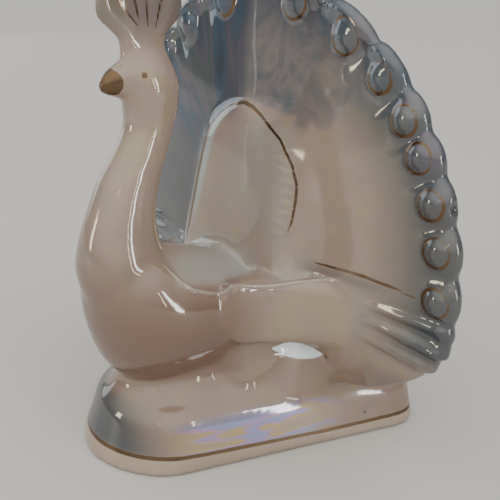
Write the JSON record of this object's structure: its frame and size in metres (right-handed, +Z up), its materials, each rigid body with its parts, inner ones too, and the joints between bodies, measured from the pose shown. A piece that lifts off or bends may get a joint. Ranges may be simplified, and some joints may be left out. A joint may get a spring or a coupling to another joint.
{
  "type": "peacock figurine",
  "caption": "Porcelain figurine of a strutting peacock, its tail raised in a round scalloped fan with beaded eyes, on a low tapering base.",
  "frame": {"origin": "on the table, under the middle of the figure's bounding box", "axes": "+Z up, -Y the way the bird looks, X across the fan"},
  "size_m": [0.1926, 0.1244, 0.1758],
  "materials": {
    "pearl_lustre_porcelain": "glossy pearl-lustre glaze over porcelain, with thin painted gold lines"
  },
  "bodies": {
    "root": {"peacock": "pearl_lustre_porcelain"}
  },
  "joints": []
}
